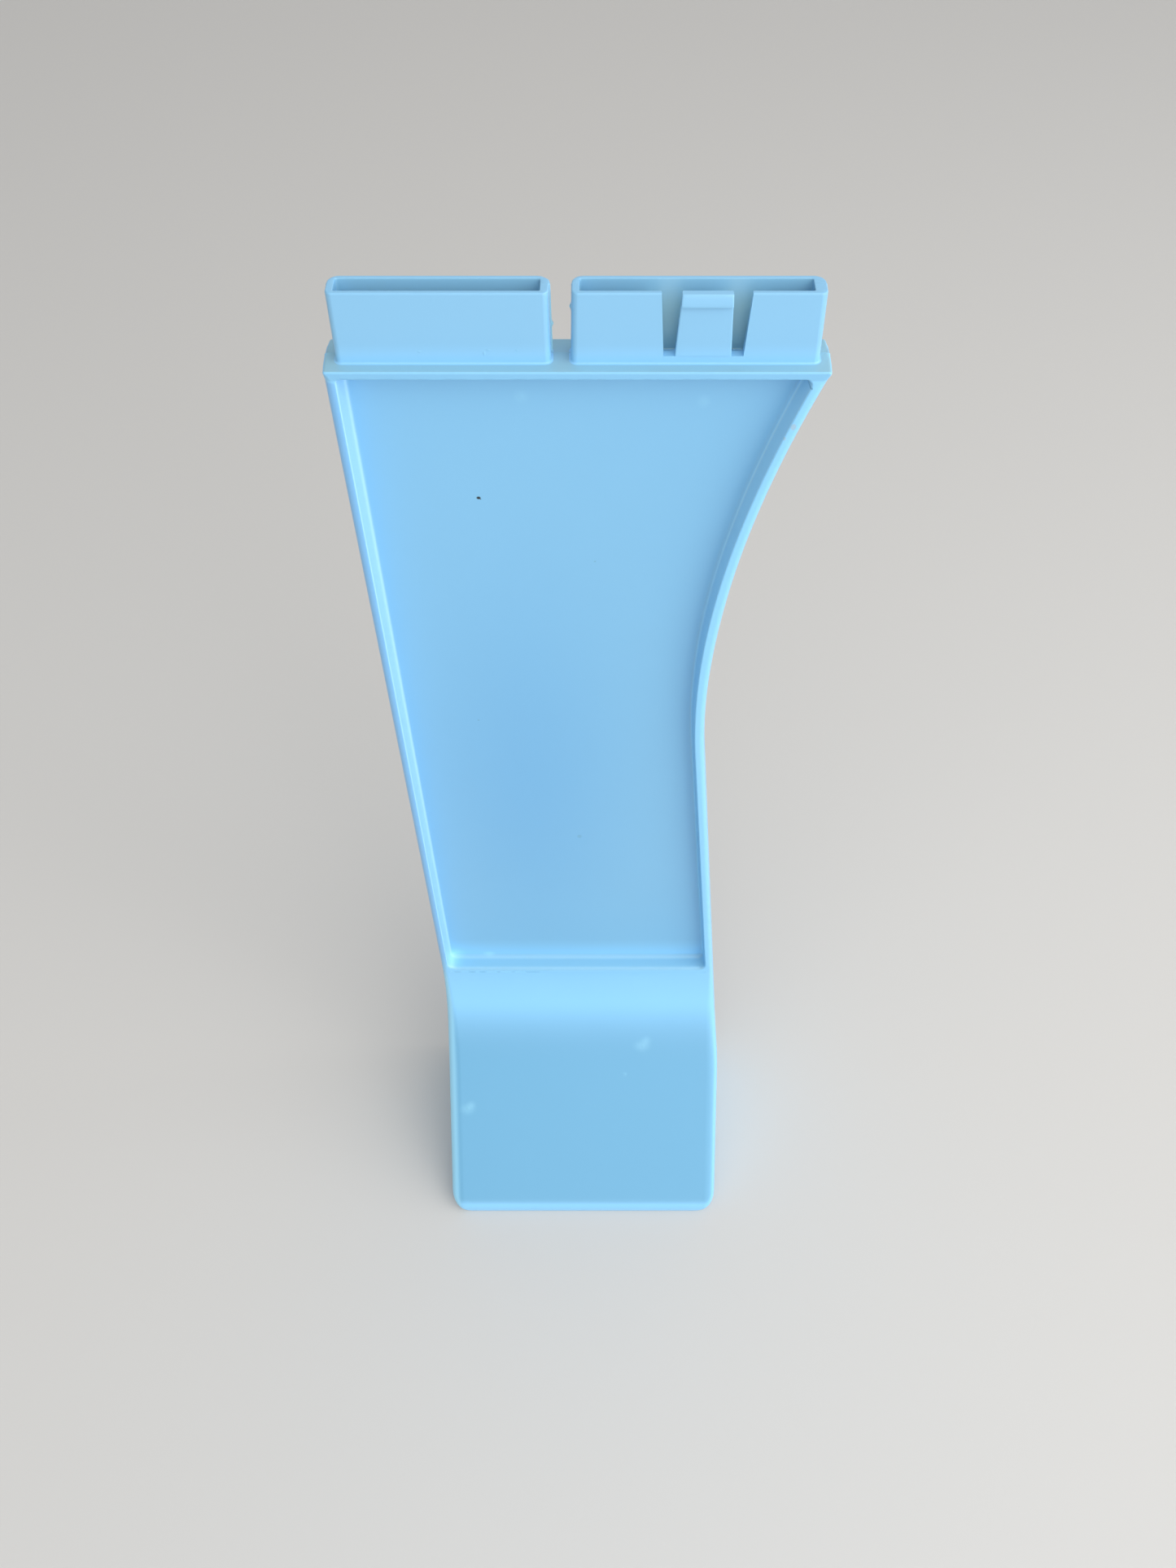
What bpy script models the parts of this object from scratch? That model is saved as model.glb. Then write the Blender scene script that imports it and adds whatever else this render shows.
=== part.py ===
"""Clip-in hair dryer holder: a necked arm with a recess on each face, a turned-out end that
widens into a hollow foot, a mounting flange and two hollow plugs, one of which carries a
snap tongue.

Frame: +Z is the way the plugs point, -Y is the front, the side the dryer lies on, and -X is
the left. The origin is on the flange's seat face, midway between the two plugs.
Sizes are in millimetres.
"""

import math
from collections import namedtuple

import bmesh
import bpy
from mathutils import Vector

MM = 0.001
SHARP_ANGLE = math.radians(35)
GAP = 0.3  # between the regions of the moulding

# arm outline, seen from the front
LEFT_X = -40.2
NECK_X = 30.8  # right edge at its narrowest
NECK_Z = -81.0
NECK_RADIUS = 233.0
FLARE_SLOPE = 0.0995  # the right edge below the neck's arc
ARM_FLARE_Z = NECK_Z - 24  # the arm's sections are wider apart below this
FOOT_RIGHT_X = 45.85
FOOT_BLEND = 6.0  # height in which the flare turns straight

# arm section
HALF_DEPTH = 4.9
PARTING_Y = 0.65
CROWN = 0.3  # how far the sides stand out at the parting line
FRONT_RIM = 2.25
BACK_RIM = FRONT_RIM + 0.1
OUTER_EDGE_R = 1.0
BACK_EDGE_R = 0.8
WEB_FRONT_Y = -0.3
WEB_BACK_Y = 1.5
FRONT_WALL_RUN = 0.5  # draft of a recess wall over its height
BACK_WALL_RUN = FRONT_WALL_RUN * 0.7
FLOOR_FILLET_R = 1.2
FLOOR_FILLET_END = 10  # degrees, where the fillet meets the drafted wall

# flange
FLANGE_T = 1.5
FLANGE_EDGE = 0.4  # chamfer round the seat face
FLANGE_BACK_R = BACK_EDGE_R * 2
OPENING_OVERRUN = 2.0  # of the opening cutters, past each face

# foot
LEDGE_Z = -209.4  # lower end of the arm
FOOT_Z = -284.8
BEND_R = 40.0
LIP_ANGLE = math.radians(41.3)  # from the arm's plane
BEND_CORNER_Z = -224.9  # where the arm's plane and the lip's plane cross
BEND_STATIONS_END_Z = BEND_CORNER_Z - 14  # end of the close sections round the bend
FOOT_CORNER_R = 5.0
CORNER_APPROACH = 3.0  # height of the close sections just above the bottom corners
FOOT_SIDE_R = 3.2  # along the lip's side edges
SIDE_R_GROWTH = 36.0  # height in which the side edges grow to that radius
NOSE_R = 7.0  # where the lip turns down to the sole
NOSE_LAND = 1.5  # upright part of the nose above the sole
FOOT_WALL = 2.0
SOLE_T = 2.0
SHEET_T = 2.7  # of the lip, measured level
HOLLOW_TOP_Z = LEDGE_Z - 2.4
HOLLOW_FRONT_R = 1.2
BACK_OVERRUN = 3.0  # of the foot's cutters, past the back
BACK_RECESS_Z = (LEDGE_Z + 1.0, LEDGE_Z - 4.0)  # ends of the recess cutter

# plugs
Plug = namedtuple("Plug", "base_x rim_x end_walls")  # each a (left, right) pair
LEFT_PLUG = Plug(base_x=(-38.15, -1.55), rim_x=(-37.85, -1.85), end_walls=(1.3, 1.45))
RIGHT_PLUG = Plug(base_x=(1.5, 43.45), rim_x=(1.7, 42.95), end_walls=(1.35, 2.1))
PLUG_TOP = 12.8
PLUG_Y = (-2.4, 3.0)
PLUG_FRONT_R = 1.1  # vertical edges, in plan
PLUG_BACK_R = 1.9
PLUG_INNER_R = 0.3
PLUG_DRAFT = 0.1
PLUG_RIM_EDGE = 0.25  # chamfer round the rim
PLUG_WALL_RIM = 0.85
PLUG_WALL_BASE = 1.6
PLUG_FLOOR_Z = -0.3

# window for the snap tongue; each X pair is (left, right)
WINDOW_Z = 1.4
WINDOW_BASE = (16.9, 30.2)
WINDOW_TOP = (16.1, 30.7)
WINDOW_OVERRUN_Z = 1.0  # of the cutter, past the rim
WINDOW_OVERRUN_Y = 2.0  # of the cutter, past the front wall

# snap tongue
TONGUE_BASE_Z = WINDOW_Z + GAP
TONGUE_TOP_Z = PLUG_TOP - 0.05
TONGUE_BASE = (18.8, 28.2)
TONGUE_TOP = (19.4, 27.6)
TONGUE_T_BASE = 1.5
TONGUE_T_TOP = 1.05
TIP_SETBACK = 0.05  # of the tip's front edge
BARB_BOTTOM_Z = 10.6
BARB_TOP_Z = 12.5
BARB_OUT = 0.7
BARB_TOP_OUT = 0.25
BARB_LAND = (0.25, 0.8)  # ends of the barb's flat, above its bottom
HINGE_Y = PLUG_Y[0] + TONGUE_T_BASE / 2
HINGE_Z = WINDOW_Z + GAP / 2

# plastics
BLUE = (0.27, 0.57, 0.85)
LIGHT_BLUE = (0.30, 0.60, 0.87)


# --- scene and materials ---


def clear_scene():
    for obj in list(bpy.data.objects):
        bpy.data.objects.remove(obj, do_unlink=True)


def gloss_plastic(name, colour, roughness):
    material = bpy.data.materials.new(name)
    material.use_nodes = True
    shader = material.node_tree.nodes["Principled BSDF"]
    shader.inputs["Base Color"].default_value = (*colour, 1.0)
    shader.inputs["Roughness"].default_value = roughness
    shader.inputs["Metallic"].default_value = 0.0
    shader.inputs["IOR"].default_value = 1.52
    return material


# --- solids ---


def loft(rings):
    """Points and faces of a solid through rings of equal length, closed by a cap at each end."""
    count = len(rings[0])
    points = [point for ring in rings for point in ring]
    faces = [tuple(range(count)), tuple(range(len(points) - count, len(points)))]
    for start in range(0, len(points) - count, count):
        above = start + count
        for i in range(count):
            j = (i + 1) % count
            faces.append((start + i, start + j, above + j, above + i))
    return points, faces


def add_solid(name, rings, material, origin=(0.0, 0.0, 0.0)):
    """A lofted object; rings are in the part's frame and the object's own origin is at origin."""
    points, faces = loft(rings)
    bm = bmesh.new()
    verts = [
        bm.verts.new(((x - origin[0]) * MM, (y - origin[1]) * MM, (z - origin[2]) * MM))
        for x, y, z in points
    ]
    for face in faces:
        bm.faces.new([verts[i] for i in face])
    bmesh.ops.recalc_face_normals(bm, faces=bm.faces)
    mesh = bpy.data.meshes.new(name)
    bm.to_mesh(mesh)
    bm.free()
    mesh.materials.append(material)
    mesh.shade_smooth()
    mesh.set_sharp_from_angle(angle=SHARP_ANGLE)
    obj = bpy.data.objects.new(name, mesh)
    obj.location = Vector(origin) * MM
    bpy.context.scene.collection.objects.link(obj)
    return obj


def cut(obj, cutter):
    cutter.hide_render = True
    cutter.display_type = "WIRE"
    modifier = obj.modifiers.new(cutter.name, "BOOLEAN")
    modifier.operation = "DIFFERENCE"
    modifier.object = cutter
    modifier.solver = "EXACT"


# --- loops and spacing ---


def lerp(start, end, t):
    return start + (end - start) * t


def spread(start, end, steps):
    return [start + (end - start) * i / steps for i in range(steps + 1)]


def at_height(loop, z):
    return [(x, y, z) for x, y in loop]


def arc(centre_x, centre_y, radius, start, end, steps):
    """Points on an arc, angles in degrees."""
    points = []
    for i in range(steps + 1):
        angle = math.radians(start + (end - start) * i / steps)
        points.append((centre_x + radius * math.cos(angle), centre_y + radius * math.sin(angle)))
    return points


def corner(x, y, x_sign, y_sign, radius, start, end, steps):
    """A rounding of the corner at (x, y); the signs point from there to the arc's centre.

    At 0 degrees the arc touches the corner's upright side, at 90 its level side.
    """
    return [
        (x + x_sign * (radius - across), y + y_sign * (radius - along))
        for across, along in arc(0, 0, radius, start, end, steps)
    ]


def rounded_loop(x, y, front_r, back_r, front_steps=4, back_steps=4, parting_x=None):
    """A rounded rectangle; parting_x adds a point at the parting line on each side."""
    left_point, right_point = [], []
    if parting_x:
        left_point, right_point = ([(side, PARTING_Y)] for side in parting_x)
    return (
        arc(x[0] + front_r, y[0] + front_r, front_r, 270, 180, front_steps)
        + left_point
        + arc(x[0] + back_r, y[1] - back_r, back_r, 180, 90, back_steps)
        + arc(x[1] - back_r, y[1] - back_r, back_r, 90, 0, back_steps)
        + right_point
        + arc(x[1] - front_r, y[0] + front_r, front_r, 0, -90, front_steps)
    )


# --- arm ---


def right_edge(z):
    """X of the arm's right edge: an arc at the neck, a straight flare, then the foot's side."""
    flare_sine = FLARE_SLOPE / math.sqrt(1 + FLARE_SLOPE**2)
    flare_z = NECK_Z - NECK_RADIUS * flare_sine
    centre_x = NECK_X + NECK_RADIUS
    if z >= flare_z:
        return centre_x - math.sqrt(NECK_RADIUS**2 - (z - NECK_Z) ** 2)
    flare_x = centre_x - NECK_RADIUS * math.sqrt(1 - flare_sine**2)
    x = flare_x + FLARE_SLOPE * (flare_z - z)
    blend_width = FLARE_SLOPE * FOOT_BLEND
    over = x - (FOOT_RIGHT_X - blend_width / 2)
    if over <= 0:
        return x
    t = min(1.0, over / blend_width)
    return x - over + blend_width * (t - t * t / 2)


def arm_half_section(edge, inward):
    """From the middle of the front web, out round the side wall, to the middle of the back.

    inward is the sign of X from this edge towards the arm's middle.
    """
    front_rim = edge + inward * FRONT_RIM
    front_foot = front_rim + inward * FRONT_WALL_RUN
    back_rim = edge + inward * BACK_RIM
    back_foot = back_rim + inward * BACK_WALL_RUN
    side = edge + inward * CROWN
    return (
        corner(front_foot, WEB_FRONT_Y, inward, -1, FLOOR_FILLET_R, 90, FLOOR_FILLET_END, 4)
        + [(front_rim, -HALF_DEPTH)]
        + corner(side, -HALF_DEPTH, inward, 1, OUTER_EDGE_R, 90, 0, 4)
        + [(edge, PARTING_Y)]
        + corner(side, HALF_DEPTH, inward, -1, BACK_EDGE_R, 0, 90, 3)
        + [(back_rim, HALF_DEPTH)]
        + corner(back_foot, WEB_BACK_Y, inward, 1, FLOOR_FILLET_R, FLOOR_FILLET_END, 90, 4)
    )


def arm_section(z):
    """The H section of the arm at height z."""
    left = arm_half_section(LEFT_X, 1)
    right = arm_half_section(right_edge(z), -1)
    return at_height(left + right[::-1], z)


def make_arm(material):
    heights = spread(-FLANGE_T - GAP, ARM_FLARE_Z, 22)[:-1] + spread(ARM_FLARE_Z, LEDGE_Z, 6)
    return add_solid("arm_panel", [arm_section(z) for z in heights], material)


# --- foot ---


def front_profile(z):
    """Y of the foot's front: the arm's plane, a concave bend, the lip's slope, then the nose."""
    bend_run = BEND_R * math.tan(LIP_ANGLE / 2)
    bend_start = BEND_CORNER_Z + bend_run
    if z >= bend_start:
        return -HALF_DEPTH
    bend_end = BEND_CORNER_Z - bend_run * math.cos(LIP_ANGLE)
    if z >= bend_end:
        return -HALF_DEPTH - BEND_R + math.sqrt(BEND_R**2 - (bend_start - z) ** 2)
    nose_run = NOSE_R * math.tan(LIP_ANGLE / 2)
    upright_z = FOOT_Z + NOSE_LAND
    nose_corner_z = upright_z + nose_run
    tip_y = -HALF_DEPTH - (BEND_CORNER_Z - nose_corner_z) * math.tan(LIP_ANGLE)
    if z <= upright_z:
        return tip_y
    if z <= nose_corner_z + nose_run * math.cos(LIP_ANGLE):
        return tip_y + NOSE_R - math.sqrt(NOSE_R**2 - (z - upright_z) ** 2)
    return -HALF_DEPTH - (BEND_CORNER_Z - z) * math.tan(LIP_ANGLE)


def side_radius(z):
    """The radius of the front side edges: small at the arm, growing round the bend."""
    t = min(1.0, max(0.0, (LEDGE_Z - z) / SIDE_R_GROWTH))
    return lerp(OUTER_EDGE_R, FOOT_SIDE_R, t * t * (3 - 2 * t))


def foot_stations(top, bottom, corner_r, inset):
    """(z, left, right) down the foot, with the sides moved in and the bottom corners rounded."""
    corner_z = bottom + corner_r
    approach_z = corner_z + CORNER_APPROACH
    heights = spread(top, BEND_STATIONS_END_Z, 12)[:-1]
    heights += spread(BEND_STATIONS_END_Z, approach_z, 3)
    heights += spread(approach_z, corner_z, 3)[1:-1]
    # towards the bottom the steps follow the corner's arc
    heights += [
        bottom + corner_r * (1 - math.sin(math.radians(angle))) for angle in spread(0, 90, 8)
    ]
    stations = []
    for z in heights:
        below = max(0.0, corner_z - z)
        pull = corner_r - math.sqrt(max(0.0, corner_r**2 - below**2))
        stations.append((z, LEFT_X + inset + pull, right_edge(z) - inset - pull))
    return stations


def make_foot_body(material):
    rings = []
    for z, left, right in foot_stations(LEDGE_Z - GAP, FOOT_Z, FOOT_CORNER_R, 0.0):
        loop = rounded_loop(
            (left + CROWN, right - CROWN),
            (front_profile(z), HALF_DEPTH),
            side_radius(z),
            BACK_EDGE_R,
            front_steps=5,
            back_steps=3,
            parting_x=(left, right),
        )
        rings.append(at_height(loop, z))
    return add_solid("end_foot", rings, material)


def make_hollow_cutter(material):
    """The inside of the foot, running out through its back."""
    radius = HOLLOW_FRONT_R
    back = HALF_DEPTH + BACK_OVERRUN
    corner_r = FOOT_CORNER_R - FOOT_WALL
    rings = []
    for z, left, right in foot_stations(HOLLOW_TOP_Z, FOOT_Z + SOLE_T, corner_r, FOOT_WALL):
        front = front_profile(z) + SHEET_T
        loop = arc(left + radius, front + radius, radius, 270, 180, 4)
        loop += [(left, back), (right, back)]
        loop += arc(right - radius, front + radius, radius, 0, -90, 4)
        rings.append(at_height(loop, z))
    return add_solid("foot_hollow_cutter", rings, material)


def make_back_recess_cutter(material):
    """Carries the arm's back recess on into the foot's hollow."""
    inset = BACK_RIM + BACK_WALL_RUN
    left, right = LEFT_X + inset, right_edge(LEDGE_Z) - inset
    front, back = WEB_BACK_Y, HALF_DEPTH + BACK_OVERRUN
    loop = [(left, front), (left, back), (right, back), (right, front)]
    rings = [at_height(loop, z) for z in BACK_RECESS_Z]
    return add_solid("back_recess_cutter", rings, material)


def make_foot(material):
    """The turned-out lip with a cheek at each side and a flat sole, open at the back."""
    foot = make_foot_body(material)
    cut(foot, make_hollow_cutter(material))
    cut(foot, make_back_recess_cutter(material))
    return foot


# --- flange ---


def flange_ring(z, edge):
    """The flange's outline at height z, moved in by edge."""
    x = (LEFT_X + edge, right_edge(z) - edge)
    y = (-HALF_DEPTH + edge, HALF_DEPTH - edge)
    return at_height(rounded_loop(x, y, OUTER_EDGE_R, FLANGE_BACK_R, parting_x=x), z)


def make_flange(material):
    """The seat plate, with an opening for each plug."""
    rings = [
        flange_ring(-FLANGE_T, 0.0),
        flange_ring(-FLANGE_EDGE, 0.0),
        flange_ring(0.0, FLANGE_EDGE),
    ]
    flange = add_solid("mount_flange", rings, material)
    for side, plug in (("left", LEFT_PLUG), ("right", RIGHT_PLUG)):
        x = (plug.base_x[0] - GAP, plug.base_x[1] + GAP)
        y = (PLUG_Y[0] - GAP, PLUG_Y[1] + GAP)
        loop = rounded_loop(x, y, PLUG_FRONT_R, PLUG_BACK_R)
        rings = [at_height(loop, z) for z in (-FLANGE_T - OPENING_OVERRUN, OPENING_OVERRUN)]
        cut(flange, add_solid(side + "_opening_cutter", rings, material))
    return flange


# --- plugs ---


def plug_ring(plug, z, inset=0.0):
    """The outside of a plug at height z, moved in by inset; draft starts at the seat face."""
    t = max(0.0, z) / PLUG_TOP
    left, right = (lerp(base, rim, t) for base, rim in zip(plug.base_x, plug.rim_x))
    front, back = PLUG_Y[0] + PLUG_DRAFT * t, PLUG_Y[1] - PLUG_DRAFT * t
    x = (left + inset, right - inset)
    y = (front + inset, back - inset)
    return at_height(rounded_loop(x, y, PLUG_FRONT_R - inset, PLUG_BACK_R - inset), z)


def plug_inner_ring(plug, z):
    """The inside of a plug at height z."""
    t = max(0.0, z) / PLUG_TOP
    left, right = (lerp(base, rim, t) for base, rim in zip(plug.base_x, plug.rim_x))
    wall = lerp(PLUG_WALL_BASE, PLUG_WALL_RIM, t)
    x = (left + plug.end_walls[0], right - plug.end_walls[1])
    y = (PLUG_Y[0] + PLUG_DRAFT * t + wall, PLUG_Y[1] - PLUG_DRAFT * t - wall)
    return at_height(rounded_loop(x, y, PLUG_INNER_R, PLUG_INNER_R), z)


def make_plug(name, plug, material):
    """A cup with drafted walls, open at its rim."""
    rings = [plug_ring(plug, z) for z in (-FLANGE_T, 0.0, PLUG_TOP - PLUG_RIM_EDGE)]
    rings.append(plug_ring(plug, PLUG_TOP, inset=PLUG_RIM_EDGE))
    rings += [plug_inner_ring(plug, z) for z in (PLUG_TOP, PLUG_FLOOR_Z)]
    return add_solid(name, rings, material)


def make_window_cutter(material):
    """A wedge through the front wall, its sides carried on past the rim."""
    top = PLUG_TOP + WINDOW_OVERRUN_Z
    t = (top - WINDOW_Z) / (PLUG_TOP - WINDOW_Z)
    left, right = (lerp(base, rim, t) for base, rim in zip(WINDOW_BASE, WINDOW_TOP))
    outline = [(WINDOW_BASE[0], WINDOW_Z), (WINDOW_BASE[1], WINDOW_Z), (right, top), (left, top)]
    middle = (PLUG_Y[0] + PLUG_Y[1]) / 2
    rings = [[(x, y, z) for x, z in outline] for y in (PLUG_Y[0] - WINDOW_OVERRUN_Y, middle)]
    return add_solid("latch_window_cutter", rings, material)


def make_right_plug(material):
    """The plug whose front wall is opened for the snap tongue."""
    plug = make_plug("right_plug", RIGHT_PLUG, material)
    cut(plug, make_window_cutter(material))
    return plug


# --- snap tongue ---


def tongue_front(z):
    """Y of the tongue's face, which leans with the plug's draft."""
    return PLUG_Y[0] + PLUG_DRAFT / PLUG_TOP * z


def make_tongue(material):
    """A tapered spring tongue with a barb across its tip, hinged at its root."""
    base_y = tongue_front(TONGUE_BASE_Z)
    top_y = tongue_front(TONGUE_TOP_Z)
    barb_root_y = tongue_front(BARB_BOTTOM_Z)
    barb_y = barb_root_y - BARB_OUT
    # (y, z) up the front, over the barb and down the back
    profile = [
        (base_y, TONGUE_BASE_Z),
        (barb_root_y, BARB_BOTTOM_Z),
        (barb_y, BARB_BOTTOM_Z + BARB_LAND[0]),
        (barb_y, BARB_BOTTOM_Z + BARB_LAND[1]),
        (tongue_front(BARB_TOP_Z) - BARB_TOP_OUT, BARB_TOP_Z),
        (top_y + TIP_SETBACK, TONGUE_TOP_Z),
        (top_y + TONGUE_T_TOP, TONGUE_TOP_Z),
        (base_y + TONGUE_T_BASE, TONGUE_BASE_Z),
    ]
    height = TONGUE_TOP_Z - TONGUE_BASE_Z
    sides = [
        [(lerp(base, top, (z - TONGUE_BASE_Z) / height), y, z) for y, z in profile]
        for base, top in zip(TONGUE_BASE, TONGUE_TOP)
    ]
    hinge = (sum(TONGUE_BASE) / 2, HINGE_Y, HINGE_Z)
    return add_solid("latch_tongue", sides, material, origin=hinge)


def main():
    clear_scene()
    make_arm(gloss_plastic("arm_plastic", colour=BLUE, roughness=0.24))
    make_foot(gloss_plastic("foot_plastic", colour=BLUE, roughness=0.24))
    make_flange(gloss_plastic("flange_plastic", colour=BLUE, roughness=0.26))
    left_plastic = gloss_plastic("left_plug_plastic", colour=LIGHT_BLUE, roughness=0.28)
    make_plug("left_plug", LEFT_PLUG, left_plastic)
    make_right_plug(gloss_plastic("right_plug_plastic", colour=LIGHT_BLUE, roughness=0.28))
    make_tongue(gloss_plastic("tongue_plastic", colour=LIGHT_BLUE, roughness=0.28))


main()
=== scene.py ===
"""A clip-in hair dryer holder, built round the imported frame.

The flange's top face is level at z = 0, and two hollow plugs and a latch tongue stand up from it.
The arm hangs below, recessed in front and hollow behind, and ends in a lip that bends forward.
Front is -Y, right is +X. Lengths are millimetres in the part's own frame unless said otherwise,
and are turned into metres where a mesh is made. Lengths in shader areas are in metres.
"""

import math
from dataclasses import dataclass

import bmesh
import bpy
import numpy as np
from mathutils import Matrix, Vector
from mathutils.geometry import tessellate_polygon


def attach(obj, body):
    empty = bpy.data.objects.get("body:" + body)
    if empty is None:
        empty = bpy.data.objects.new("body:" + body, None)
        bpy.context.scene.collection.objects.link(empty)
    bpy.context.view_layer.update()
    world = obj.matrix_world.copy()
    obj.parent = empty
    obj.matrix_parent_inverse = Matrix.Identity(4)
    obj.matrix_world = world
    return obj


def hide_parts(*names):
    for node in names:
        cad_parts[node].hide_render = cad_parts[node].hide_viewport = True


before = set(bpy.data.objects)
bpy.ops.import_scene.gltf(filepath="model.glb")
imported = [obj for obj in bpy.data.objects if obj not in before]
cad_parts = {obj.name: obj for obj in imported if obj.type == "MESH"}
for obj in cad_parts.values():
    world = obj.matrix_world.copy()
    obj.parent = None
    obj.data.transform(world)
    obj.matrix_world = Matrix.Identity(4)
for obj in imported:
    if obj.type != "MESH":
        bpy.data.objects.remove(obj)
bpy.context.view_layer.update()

MM = 0.001

# ---------------------------------------------------------------- sizes, as in the frame

# side edges: the left is straight, the right is an arc, then a straight flare, then upright
LEFT_X = -40.2
NECK_X = 30.8
NECK_Z = -81.0
NECK_RADIUS = 233.0
FLARE_SLOPE = 0.0995
FOOT_RIGHT_X = 45.85
FOOT_BLEND = 6.0

# depth of the arm, and the walls round its recess and its hollow
HALF_DEPTH = 4.9
PARTING_Y = 0.65
CROWN = 0.3  # how far the sides lean out to the parting line
RIDGE = 0.05  # height of the parting line's ridge
LEFT_RIM = 2.35
BACK_RIM = 2.35
WEB_FRONT_Y = -0.3
WEB_BACK_Y = 1.5
FLANGE_T = 1.5

# ledge, lip and foot
LEDGE_Z = -209.4
FOOT_Z = -284.8
BEND_R = 40.0
LIP_ANGLE = math.radians(41.3)
BEND_CORNER_Z = -224.9
FOOT_CORNER_R = 6.4
NOSE_R = 7.0
NOSE_LAND = 1.5
SOLE_T = 2.0
SHEET_T = 2.7
JOG_Z = -210.3  # where the hollow's floor leaves the web for the lip
JOG_RUN = 2.6

# plugs, measured up from the flange
PLUG_TOP = 12.8
PLUG_FRONT_Y = -2.4
PLUG_BACK_Y = 3.0
PLUG_DRAFT = 0.1  # how far the long walls lean in, foot to top


def steps_down(start, step, count):
    return [start - step * i for i in range(count)]


HALF_CORNER = 4  # steps in half a corner
ACROSS = 70  # points between the corners, along the top and the bottom
# heights of the mesh rows down the long sides
ROWS_ARM = steps_down(-0.9, 0.3, 11) + steps_down(-5.0, 1.25, 160)
ROWS_SPLIT = [-208.6, -209.2, -209.8, -210.4, -211.0]
ROWS_LIP = (
    steps_down(-211.4, 0.4, 7)
    + steps_down(-214.4, 0.7, 46)
    + steps_down(-246.9, 1.1, 21)
    + steps_down(-269.8, 0.7, 11)
)

# low waves in the moulded skin: height, radians per mm along x and along z, phase
WAVES = (
    (0.011, 0.21, 0.083, 0.9),
    (0.010, -0.13, 0.117, 2.1),
    (0.006, 0.38, -0.29, 0.0),
)
# round marks on the recess floor: x, z, radius, height to the front (a sink is negative)
FLOOR_MARKS = (
    (2.1, -144.5, 2.6, -0.07),
    (2.1, -144.5, 1.0, 0.05),
    (-7.3, -8.0, 1.5, 0.05),
    (24.5, -9.0, 1.3, 0.05),
)


def smooth(t):
    t = min(1.0, max(0.0, t))
    return t * t * (3 - 2 * t)


def turn(steps, first=0, last=None, degrees=90):
    """(sine, cosine) at even steps of a turn, from the first step to the last."""
    last = steps if last is None else last
    angles = [math.radians(degrees * i / steps) for i in range(first, last + 1)]
    return [(math.sin(angle), math.cos(angle)) for angle in angles]


# ---------------------------------------------------------------- shape of the moulding


def right_edge(z):
    """X of the right edge at a height."""
    rise = FLARE_SLOPE / math.sqrt(1 + FLARE_SLOPE**2)
    flare_z = NECK_Z - NECK_RADIUS * rise
    centre = NECK_X + NECK_RADIUS
    if z >= flare_z:
        return centre - math.sqrt(NECK_RADIUS**2 - (z - NECK_Z) ** 2)
    x = centre - NECK_RADIUS * math.sqrt(1 - rise**2) + FLARE_SLOPE * (flare_z - z)
    over = x - (FOOT_RIGHT_X - FLARE_SLOPE * FOOT_BLEND / 2)
    if over <= 0:
        return x
    t = min(1.0, over / (FLARE_SLOPE * FOOT_BLEND))
    return x - over + FLARE_SLOPE * FOOT_BLEND * (t - t * t / 2)


def right_slant(z):
    """How much longer a level step is than a step square to the right edge."""
    slope = right_edge(z + 0.5) - right_edge(z - 0.5)
    return math.sqrt(1 + slope * slope)


def front_profile(z):
    """Y of the front: upright, round the bend, down the slanting lip, and round the nose."""
    bend_run = BEND_R * math.tan(LIP_ANGLE / 2)
    bend_start = BEND_CORNER_Z + bend_run
    if z >= bend_start:
        return -HALF_DEPTH
    if z >= BEND_CORNER_Z - bend_run * math.cos(LIP_ANGLE):
        return -HALF_DEPTH - BEND_R + math.sqrt(BEND_R**2 - (bend_start - z) ** 2)
    nose_run = NOSE_R * math.tan(LIP_ANGLE / 2)
    upright_z = FOOT_Z + NOSE_LAND
    corner_z = upright_z + nose_run
    tip = -HALF_DEPTH - (BEND_CORNER_Z - corner_z) * math.tan(LIP_ANGLE)
    if z <= upright_z:
        return tip
    if z <= corner_z + nose_run * math.cos(LIP_ANGLE):
        return tip + NOSE_R - math.sqrt(NOSE_R**2 - (z - upright_z) ** 2)
    return -HALF_DEPTH - (BEND_CORNER_Z - z) * math.tan(LIP_ANGLE)


def back_floor(z):
    """Y of the floor of the hollow side: the web's back, then a jog to the inside of the lip."""
    inside = front_profile(z) + SHEET_T
    return WEB_BACK_Y + (inside - WEB_BACK_Y) * smooth((JOG_Z - z) / JOG_RUN)


def side_radius(z):
    """Rounding of the long front edges: crisp at the flange, then wide, and wider on the lip."""
    crisp, arm_gain, arm_run = 0.6, 0.75, 2.4
    lip_gain, lip_run = 2.2, 36.0
    return crisp + arm_gain * smooth(-z / arm_run) + lip_gain * smooth((LEDGE_Z - z) / lip_run)


def right_rim(z):
    """Width of the front's right rim, which widens down from the flange."""
    return 2.2 + 0.35 * smooth(-z / 75.0)


def front_crown(z, side):
    """How far the front edge is in from the parting line, which is less on the curved side."""
    if side < 0:
        return CROWN
    return CROWN - 0.24 * (1 - smooth((-z - 55.0) / 45.0))


def ripple(x, z):
    return sum(
        height * math.sin(along_x * x + along_z * z + phase)
        for height, along_x, along_z, phase in WAVES
    )


def recess_floor(x, z):
    """Y of the recess floor, with its round marks."""
    return WEB_FRONT_Y - sum(
        height * math.exp(-((x - mark_x) ** 2 + (z - mark_z) ** 2) / (radius * radius))
        for mark_x, mark_z, radius, height in FLOOR_MARKS
    )


# ---------------------------------------------------------------- outlines in X and Z


def inner_rows(start, until):
    """The arm's rows for an outline that starts lower, under the flange. From until down, they
    don't change."""
    first = ROWS_ARM[0]
    return [
        z if z < until else start + (z - first) * (until - start) / (until - first)
        for z in ROWS_ARM
    ]


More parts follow.
